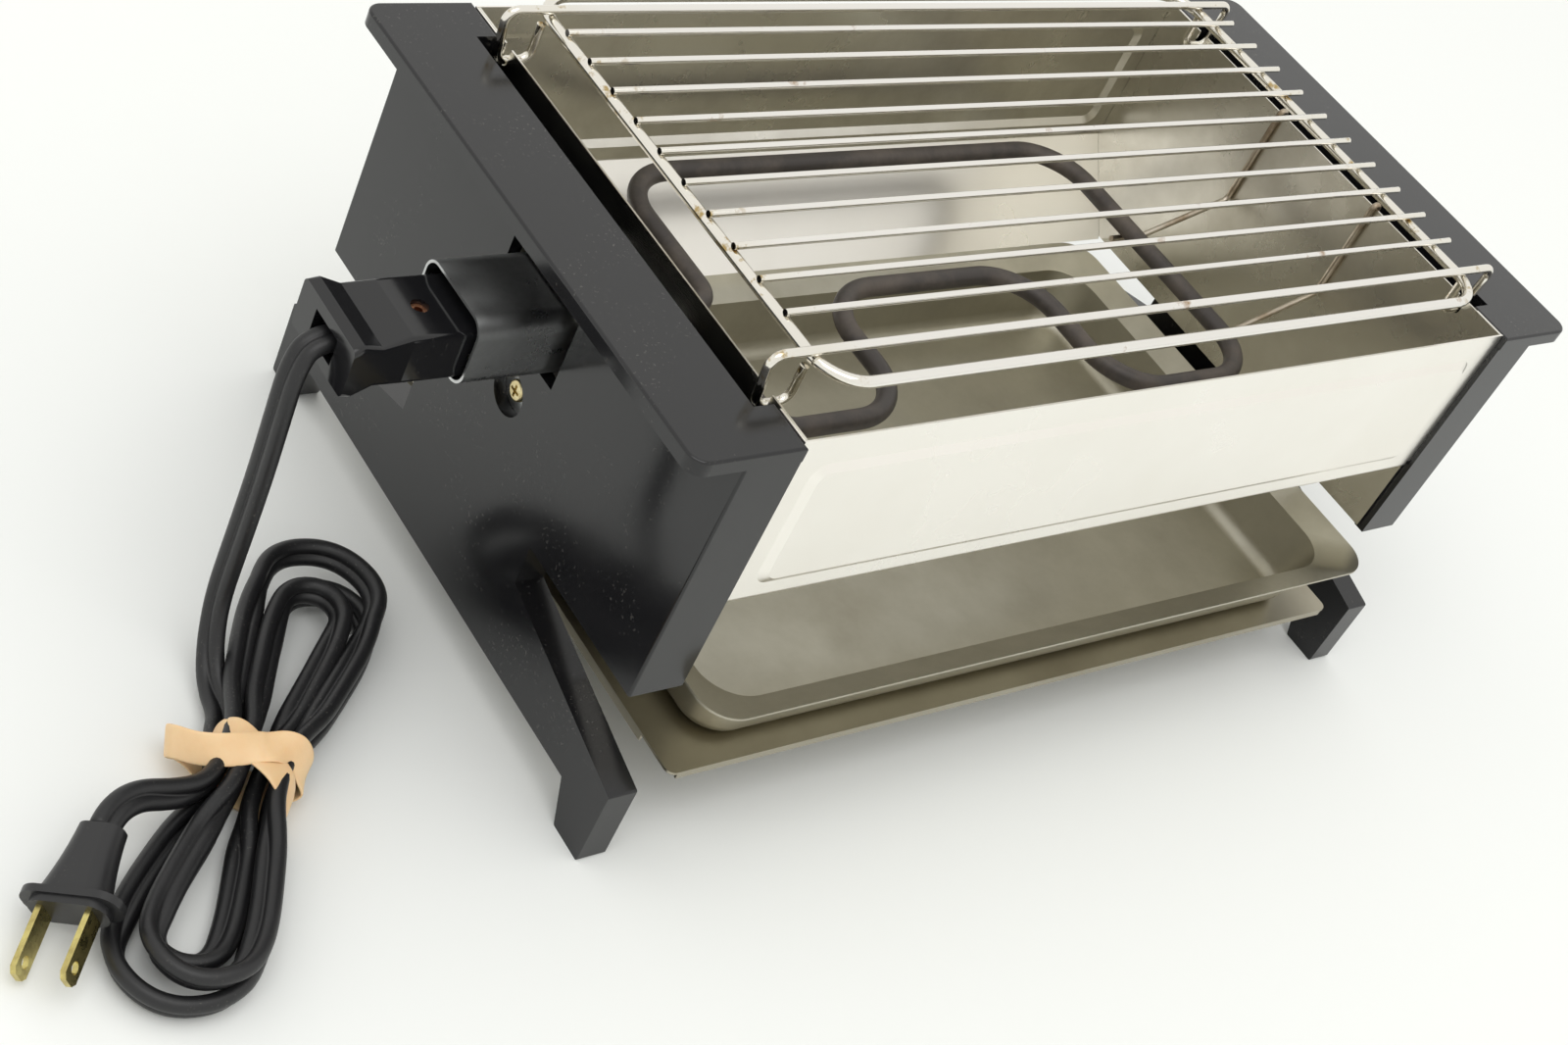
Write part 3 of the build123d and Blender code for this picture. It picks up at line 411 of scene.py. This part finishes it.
tan, tan_tree, tan_shader = new_material("band_tan", (0.82, 0.56, 0.30), 0.48)
tan_shader.inputs["Subsurface Weight"].default_value = 0.25
tan_shader.inputs["Subsurface Radius"].default_value = (0.004, 0.002, 0.001)
tan_place = object_place(tan_tree)
tan_cloud = add_node(tan_tree, "ShaderNodeTexNoise", {"Scale": 120.0, "Detail": 3.0})
tan_mix = add_node(tan_tree, "ShaderNodeMix",
                   {"A": (0.74, 0.47, 0.23, 1), "B": (0.88, 0.66, 0.40, 1)}, data_type="RGBA")
tan_grain = add_node(tan_tree, "ShaderNodeTexNoise", {"Scale": 1400.0, "Detail": 2.0})
tan_bump = add_node(tan_tree, "ShaderNodeBump", {"Strength": 0.15, "Distance": 0.0002})
tan_tree.links.new(tan_place, tan_cloud.inputs["Vector"])
tan_tree.links.new(tan_place, tan_grain.inputs["Vector"])
tan_tree.links.new(tan_cloud.outputs["Fac"], tan_mix.inputs["Factor"])
tan_tree.links.new(tan_mix.outputs["Result"], tan_shader.inputs["Base Color"])
tan_tree.links.new(tan_grain.outputs["Fac"], tan_bump.inputs["Height"])
tan_tree.links.new(tan_bump.outputs["Normal"], tan_shader.inputs["Normal"])
band = new_piece("wound_band", grid_mesh("wound_band", band_rings, closed_u=True), "cord_set",
                 tan)
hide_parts("rubber_band")


# ---------------------------------------------------------------- wall plug
# Moulded in black rubber round the cord's end, with an oval finger flange. The two blades are
# stamped brass, a little tarnished, with a round hole near each tip.
def dress(name, material):
    """Gives a carried-over CAD node its finish."""
    nodes[name].material_slots[0].material = material


moulded_black = (0.014, 0.014, 0.015)
plug_black, plug_tree, plug_shader = new_material("plug_black", moulded_black, 0.35)
plug_place = object_place(plug_tree)
plug_dust = add_node(plug_tree, "ShaderNodeGroup", {"Scale": 1300.0, "Amount": 0.35},
                     node_tree=dust)
plug_mix = add_node(plug_tree, "ShaderNodeMix",
                    {"A": (*moulded_black, 1), "B": (0.16, 0.15, 0.13, 1)}, data_type="RGBA")
plug_cloud = add_node(plug_tree, "ShaderNodeTexNoise", {"Scale": 150.0, "Detail": 2.0})
plug_rough = add_node(plug_tree, "ShaderNodeMapRange", {"To Min": 0.26, "To Max": 0.46})
plug_tree.links.new(plug_place, plug_dust.inputs["Vector"])
plug_tree.links.new(plug_place, plug_cloud.inputs["Vector"])
plug_tree.links.new(plug_dust.outputs["Mask"], plug_mix.inputs["Factor"])
plug_tree.links.new(plug_mix.outputs["Result"], plug_shader.inputs["Base Color"])
plug_tree.links.new(plug_cloud.outputs["Fac"], plug_rough.inputs["Value"])
plug_tree.links.new(plug_rough.outputs["Result"], plug_shader.inputs["Roughness"])
dress("plug_body", plug_black)

# A film that dulls and colours a metal in soft patches, used on every metal piece
film, film_in, film_out = group_of("dull_film", [
    ("Vector", "NodeSocketVector", None), ("Scale", "NodeSocketFloat", 20.0),
    ("Start", "NodeSocketFloat", 0.4), ("Full", "NodeSocketFloat", 0.7),
    ("Clean", "NodeSocketColor", (0.6, 0.6, 0.6, 1)),
    ("Filmed", "NodeSocketColor", (0.4, 0.3, 0.2, 1)),
    ("Smooth", "NodeSocketFloat", 0.2), ("Rough", "NodeSocketFloat", 0.4)],
    [("Color", "NodeSocketColor"), ("Roughness", "NodeSocketFloat"), ("Mask", "NodeSocketFloat")])
film_noise = add_node(film, "ShaderNodeTexNoise", {"Detail": 5.0, "Roughness": 0.62})
film_mask = add_node(film, "ShaderNodeMapRange")
film_color = add_node(film, "ShaderNodeMix", data_type="RGBA")
film_rough = add_node(film, "ShaderNodeMapRange")
film.links.new(film_in.outputs["Vector"], film_noise.inputs["Vector"])
film.links.new(film_in.outputs["Scale"], film_noise.inputs["Scale"])
film.links.new(film_noise.outputs["Fac"], film_mask.inputs["Value"])
film.links.new(film_in.outputs["Start"], film_mask.inputs["From Min"])
film.links.new(film_in.outputs["Full"], film_mask.inputs["From Max"])
film.links.new(film_mask.outputs["Result"], film_color.inputs["Factor"])
film.links.new(film_in.outputs["Clean"], film_color.inputs["A"])
film.links.new(film_in.outputs["Filmed"], film_color.inputs["B"])
film.links.new(film_mask.outputs["Result"], film_rough.inputs["Value"])
film.links.new(film_in.outputs["Smooth"], film_rough.inputs["To Min"])
film.links.new(film_in.outputs["Rough"], film_rough.inputs["To Max"])
film.links.new(film_color.outputs["Result"], film_out.inputs["Color"])
film.links.new(film_rough.outputs["Result"], film_out.inputs["Roughness"])
film.links.new(film_mask.outputs["Result"], film_out.inputs["Mask"])


def add_film(tree, clean, filmed, smooth, rough, scale, spread):
    """Places the film: a clean and a filmed colour, and the roughness of each. spread is where in
    its noise the film starts and where it is full."""
    start, full = spread
    patchy = add_node(tree, "ShaderNodeGroup", {
        "Scale": scale, "Start": start, "Full": full, "Clean": (*clean, 1),
        "Filmed": (*filmed, 1), "Smooth": smooth, "Rough": rough}, node_tree=film)
    tree.links.new(object_place(tree), patchy.inputs["Vector"])
    return patchy


def filmed_metal(name, clean, filmed, smooth, rough, scale, spread=(0.4, 0.7), grain=None,
                 grain_depth=0.08, metallic=1.0):
    """A metal with a dull film in patches. grain is the scale of its brushing along X, Y and Z:
    a small number draws the grain out along that axis."""
    material, tree, shader = new_material(name, clean, smooth, metallic)
    patchy = add_film(tree, clean, filmed, smooth, rough, scale, spread)
    tree.links.new(patchy.outputs["Color"], shader.inputs["Base Color"])
    tree.links.new(patchy.outputs["Roughness"], shader.inputs["Roughness"])
    if grain is not None:
        lines = add_node(tree, "ShaderNodeTexNoise", {"Scale": 1.0, "Detail": 2.0})
        bump = add_node(tree, "ShaderNodeBump", {"Strength": grain_depth, "Distance": 0.0002})
        tree.links.new(object_place(tree, grain), lines.inputs["Vector"])
        tree.links.new(lines.outputs["Fac"], bump.inputs["Height"])
        tree.links.new(bump.outputs["Normal"], shader.inputs["Normal"])
    return material, tree, shader, patchy


blade_brass = filmed_metal(
    "blade_brass", (0.66, 0.57, 0.22), (0.40, 0.32, 0.12), 0.22, 0.42, 220.0,
    grain=(900, 900, 900), grain_depth=0.05)[0]
dress("plug_blades", blade_brass)


# ---------------------------------------------------------------- end panels and connector
# Polished black phenolic, moulded under heat. The end panels are one piece each with their legs;
# the connector is two shells held together by a copper eyelet.
def soften(name, reach):
    """Rounds a carried-over node's sharp edges by a bevel."""
    weld = nodes[name].modifiers.new("weld", "WELD")
    weld.merge_threshold = 0.00001
    bevel = nodes[name].modifiers.new("bevel", "BEVEL")
    bevel.width, bevel.segments = reach, 3
    bevel.limit_method, bevel.angle_limit = "ANGLE", math.radians(35)
    bevel.harden_normals = True


def polished_black(name, smooth, rough, dust_amount):
    """Moulded black phenolic: a hard gloss that handling has dulled in places, with dust on it."""
    color = (0.008, 0.008, 0.009)
    material, tree, shader = new_material(name, color, smooth)
    place = object_place(tree)
    specked = add_node(tree, "ShaderNodeGroup", {"Scale": 1100.0, "Amount": dust_amount},
                       node_tree=dust)
    mixed = add_node(tree, "ShaderNodeMix", {"A": (*color, 1), "B": (0.22, 0.21, 0.19, 1)},
                     data_type="RGBA")
    worn = add_node(tree, "ShaderNodeTexNoise", {"Scale": 16.0, "Detail": 5.0})
    dulled = add_node(tree, "ShaderNodeMapRange", {"From Min": 0.35, "From Max": 0.7,
                                                   "To Min": smooth, "To Max": rough})
    peel = add_node(tree, "ShaderNodeTexNoise", {"Scale": 130.0, "Detail": 1.0})
    bump = add_node(tree, "ShaderNodeBump", {"Strength": 0.015, "Distance": 0.001})
    tree.links.new(place, specked.inputs["Vector"])
    tree.links.new(place, worn.inputs["Vector"])
    tree.links.new(place, peel.inputs["Vector"])
    tree.links.new(specked.outputs["Mask"], mixed.inputs["Factor"])
    tree.links.new(mixed.outputs["Result"], shader.inputs["Base Color"])
    tree.links.new(worn.outputs["Fac"], dulled.inputs["Value"])
    tree.links.new(dulled.outputs["Result"], shader.inputs["Roughness"])
    tree.links.new(peel.outputs["Fac"], bump.inputs["Height"])
    tree.links.new(bump.outputs["Normal"], shader.inputs["Normal"])
    return material


phenolic = polished_black("phenolic_black", 0.12, 0.22, 0.30)
for name in ("left_end_panel", "right_end_panel"):
    dress(name, phenolic)
connector_black = polished_black("connector_black", 0.06, 0.17, 0.12)
for name in ("connector_upper_half", "connector_lower_half"):
    dress(name, connector_black)
    soften(name, 0.0005)
eyelet = filmed_metal(
    "eyelet_copper", (0.80, 0.38, 0.22), (0.45, 0.20, 0.10), 0.22, 0.45, 300.0)[0]
dress("connector_rivet", eyelet)


# ---------------------------------------------------------------- inlet
# A plain bright zinc-plated steel shield round two nickelled pins in a white ceramic block. A
# yellow screw with a spacer and a nut holds the shield's tab.
shield_metal = filmed_metal(
    "shield_zinc", (0.62, 0.63, 0.63), (0.38, 0.39, 0.39), 0.24, 0.44, 60.0,
    spread=(0.38, 0.72), grain=(60, 900, 900), grain_depth=0.06)[0]
dress("plug_shield", shield_metal)
yellow_zinc = filmed_metal(
    "yellow_zinc", (0.80, 0.70, 0.42), (0.60, 0.48, 0.24), 0.25, 0.45, 300.0)[0]
dress("shield_screw", yellow_zinc)
plain_zinc = filmed_metal(
    "plain_zinc", (0.58, 0.58, 0.57), (0.38, 0.36, 0.33), 0.28, 0.50, 220.0)[0]
for name in ("shield_spacer", "shield_nut", "liner_screws", "tray_screws"):
    dress(name, plain_zinc)
nickel = filmed_metal(
    "pin_nickel", (0.66, 0.63, 0.57), (0.42, 0.38, 0.32), 0.20, 0.42, 260.0)[0]
for name in ("terminal_pins", "connector_contacts"):
    dress(name, nickel)
ceramic, ceramic_tree, ceramic_shader = new_material("white_ceramic", (0.78, 0.75, 0.68), 0.6)
ceramic_cloud = add_node(ceramic_tree, "ShaderNodeTexNoise", {"Scale": 260.0, "Detail": 4.0})
ceramic_mix = add_node(ceramic_tree, "ShaderNodeMix",
                       {"A": (0.80, 0.77, 0.70, 1), "B": (0.62, 0.56, 0.46, 1)}, data_type="RGBA")
ceramic_tree.links.new(object_place(ceramic_tree), ceramic_cloud.inputs["Vector"])
ceramic_tree.links.new(ceramic_cloud.outputs["Fac"], ceramic_mix.inputs["Factor"])
ceramic_tree.links.new(ceramic_mix.outputs["Result"], ceramic_shader.inputs["Base Color"])
for name in ("terminal_block", "element_bushings"):
    dress(name, ceramic)


# ---------------------------------------------------------------- body sheets
# Thin stainless sheet. Outside it is satin with fine brushing along its length; inside it has a
# brown heat tone and a thin film of burnt fat.
burnt_scale, burnt_spread = 26.0, (0.38, 0.75)
heat_toned = filmed_metal(
    "heat_toned_stainless", (0.76, 0.74, 0.67), (0.56, 0.53, 0.45), 0.20, 0.36, burnt_scale,
    spread=burnt_spread, grain=(1200, 8, 1200), grain_depth=0.05)[0]
for name in ("left_liner", "right_liner"):
    dress(name, heat_toned)

# The upward part of a face's normal, from where it counts as a wall to where it counts as the
# apron, and how much is added to the apron's
wall_face, apron_face, apron_slant = 0.35, 0.55, 0.45


def two_faced(name, outward):
    """Satin outside and heat-toned inside, told apart by which way the sheet's face points. The
    apron, which faces up, keeps the bright outside colour instead of the heat tone, as a painted
    highlight. Its mesh is flat and its normal is turned up, so that it mirrors the room over the
    grill."""
    material, tree, shader, clean = filmed_metal(
        name, (0.90, 0.875, 0.82), (0.85, 0.82, 0.755), 0.27, 0.34, 7.0,
        grain=(6, 1600, 1600), grain_depth=0.05)
    burnt = add_film(tree, (0.76, 0.74, 0.66), (0.55, 0.52, 0.43), 0.24, 0.42, burnt_scale,
                     burnt_spread)
    facing = add_node(tree, "ShaderNodeTexCoord")
    parts = add_node(tree, "ShaderNodeSeparateXYZ")
    side = add_node(tree, "ShaderNodeMapRange", {"From Min": -0.05 * outward,
                                                 "From Max": -0.3 * outward})
    # Up-facing apron faces get no burnt film and keep the bright clean colour: a painted highlight
    # that stands for the room's light mirrored in the apron.
    not_painted_bright_apron = add_node(tree, "ShaderNodeMapRange", {
        "From Min": wall_face, "From Max": apron_face, "To Min": 1.0, "To Max": 0.0})
    burnt_except_painted_bright_apron = add_node(tree, "ShaderNodeMath", operation="MULTIPLY")
    color = add_node(tree, "ShaderNodeMix", data_type="RGBA")
    rough = add_node(tree, "ShaderNodeMix", data_type="FLOAT")
    tree.links.new(facing.outputs["Normal"], parts.inputs["Vector"])
    tree.links.new(parts.outputs["Y"], side.inputs["Value"])
    tree.links.new(parts.outputs["Z"], not_painted_bright_apron.inputs["Value"])
    tree.links.new(side.outputs["Result"], burnt_except_painted_bright_apron.inputs[0])
    tree.links.new(not_painted_bright_apron.outputs["Result"], burnt_except_painted_bright_apron.inputs[1])
    tree.links.new(burnt_except_painted_bright_apron.outputs["Value"], color.inputs["Factor"])
    tree.links.new(burnt_except_painted_bright_apron.outputs["Value"], rough.inputs["Factor"])
    tree.links.new(clean.outputs["Color"], color.inputs["A"])
    tree.links.new(burnt.outputs["Color"], color.inputs["B"])
    tree.links.new(clean.outputs["Roughness"], rough.inputs["A"])
    tree.links.new(burnt.outputs["Roughness"], rough.inputs["B"])
    tree.links.new(color.outputs["Result"], shader.inputs["Base Color"])
    tree.links.new(rough.outputs["Result"], shader.inputs["Roughness"])
    faces_up = add_node(tree, "ShaderNodeMapRange", {"From Min": wall_face,
                                                     "From Max": apron_face})
    slanted = add_node(tree, "ShaderNodeVectorMath", {1: (0, 0, apron_slant)},
                       operation="MULTIPLY_ADD")
    evened = add_node(tree, "ShaderNodeVectorMath", operation="NORMALIZE")
    tree.links.new(parts.outputs["Z"], faces_up.inputs["Value"])
    tree.links.new(faces_up.outputs["Result"], slanted.inputs[0])
    tree.links.new(shader.inputs["Normal"].links[0].from_socket, slanted.inputs[2])
    tree.links.new(slanted.outputs["Vector"], evened.inputs[0])
    tree.links.new(evened.outputs["Vector"], shader.inputs["Normal"])
    return material


dress("front_panel", two_faced("front_stainless", -1))
dress("rear_panel", two_faced("rear_stainless", 1))


# ---------------------------------------------------------------- cooking grid
# Steel rod, bent and spot-welded, then bright plated. The welds have burst the plating a little,
# so brown stains and fat collect round them, towards both ends of the grid.
chrome, chrome_tree, chrome_shader, chrome_film = filmed_metal(
    "grid_chrome", (0.82, 0.80, 0.76), (0.34, 0.19, 0.07), 0.12, 0.45, 70.0, spread=(0.64, 0.74))
stain = add_film(chrome_tree, (0.80, 0.77, 0.70), (0.46, 0.34, 0.15), 0.16, 0.5, 190.0,
                 (0.58, 0.68))
chrome_parts = add_node(chrome_tree, "ShaderNodeSeparateXYZ")
from_middle = add_node(chrome_tree, "ShaderNodeMath", {1: centre_shift[0]}, operation="SUBTRACT")
far_out = add_node(chrome_tree, "ShaderNodeMath", operation="ABSOLUTE")
at_welds = add_node(chrome_tree, "ShaderNodeMapRange", {"From Min": 0.118, "From Max": 0.132})
stained = add_node(chrome_tree, "ShaderNodeMix", data_type="RGBA")
chrome_tree.links.new(object_place(chrome_tree), chrome_parts.inputs["Vector"])
chrome_tree.links.new(chrome_parts.outputs["X"], from_middle.inputs[0])
chrome_tree.links.new(from_middle.outputs["Value"], far_out.inputs[0])
chrome_tree.links.new(far_out.outputs["Value"], at_welds.inputs["Value"])
chrome_tree.links.new(at_welds.outputs["Result"], stained.inputs["Factor"])
chrome_tree.links.new(chrome_film.outputs["Color"], stained.inputs["A"])
chrome_tree.links.new(stain.outputs["Color"], stained.inputs["B"])
chrome_tree.links.new(stained.outputs["Result"], chrome_shader.inputs["Base Color"])
for name in ("grid_frame", "grid_cross_rods", "grid_foot_rods"):
    dress(name, chrome)
soften("grid_cross_rods", 0.0011)


# ---------------------------------------------------------------- heater
# A steel sheath filled with magnesia, bent into two loops, burnt dark brown and grey in use. Two
# bare wires hooked over the right liner carry its far end.
sheath = filmed_metal(
    "burnt_sheath", (0.060, 0.052, 0.048), (0.150, 0.125, 0.105), 0.45, 0.70, 45.0,
    spread=(0.42, 0.70), grain=(500, 500, 500), grain_depth=0.25, metallic=0.35)[0]
dress("heating_element", sheath)
wire_steel = filmed_metal(
    "heat_toned_wire", (0.55, 0.50, 0.42), (0.30, 0.22, 0.14), 0.28, 0.50, 90.0)[0]
for name in ("support_wire_front", "support_wire_rear"):
    dress(name, wire_steel)


# ---------------------------------------------------------------- drip pan and base tray
# Both are pressed from thin tinned sheet. The pan is dull and mottled from fat and scouring, the
# tray under it a darker bronze grey.
pan_metal = filmed_metal(
    "scoured_pan", (0.50, 0.48, 0.40), (0.40, 0.375, 0.30), 0.34, 0.50, 30.0,
    spread=(0.30, 0.75), grain=(300, 300, 300), grain_depth=0.12)[0]
dress("drip_pan", pan_metal)
tray_metal = filmed_metal(
    "bronzed_tray", (0.41, 0.38, 0.30), (0.32, 0.29, 0.22), 0.28, 0.42, 14.0,
    spread=(0.35, 0.75), grain=(20, 900, 900), grain_depth=0.06)[0]
dress("base_tray", tray_metal)


# ---------------------------------------------------------------- stage
# A plain white table top in a pale room. One large soft lamp hangs over it to the front left, and
# the room's own light comes from every side.
floor_half = 4
floor_mesh = bpy.data.meshes.new("floor")
floor_mesh.from_pydata([(-floor_half, -floor_half, 0), (floor_half, -floor_half, 0),
                        (floor_half, floor_half, 0), (-floor_half, floor_half, 0)],
                       [], [(0, 1, 2, 3)])
floor = bpy.data.objects.new("floor", floor_mesh)
collection.objects.link(floor)
table_white = new_material("table_top", (0.87, 0.885, 0.87), 0.6)[0]
floor_mesh.materials.append(table_white)

world = bpy.data.worlds.new("room")
bpy.context.scene.world = world
world.use_nodes = True
sky = world.node_tree.nodes["Background"]
sky.inputs["Color"].default_value = (1.0, 0.995, 0.965, 1)
sky.inputs["Strength"].default_value = 1.0

lamp_data = bpy.data.lights.new("soft_lamp", "AREA")
lamp_data.shape = "RECTANGLE"
lamp_data.size, lamp_data.size_y = 1.6, 1.2
lamp_data.energy = 9.0
lamp = bpy.data.objects.new("soft_lamp", lamp_data)
collection.objects.link(lamp)
lamp.location = (-0.5, -0.5, 1.8)
lamp_target = Vector((0, 0, 0.1))
lamp.rotation_euler = (lamp_target - lamp.location).to_track_quat("-Z", "Y").to_euler()
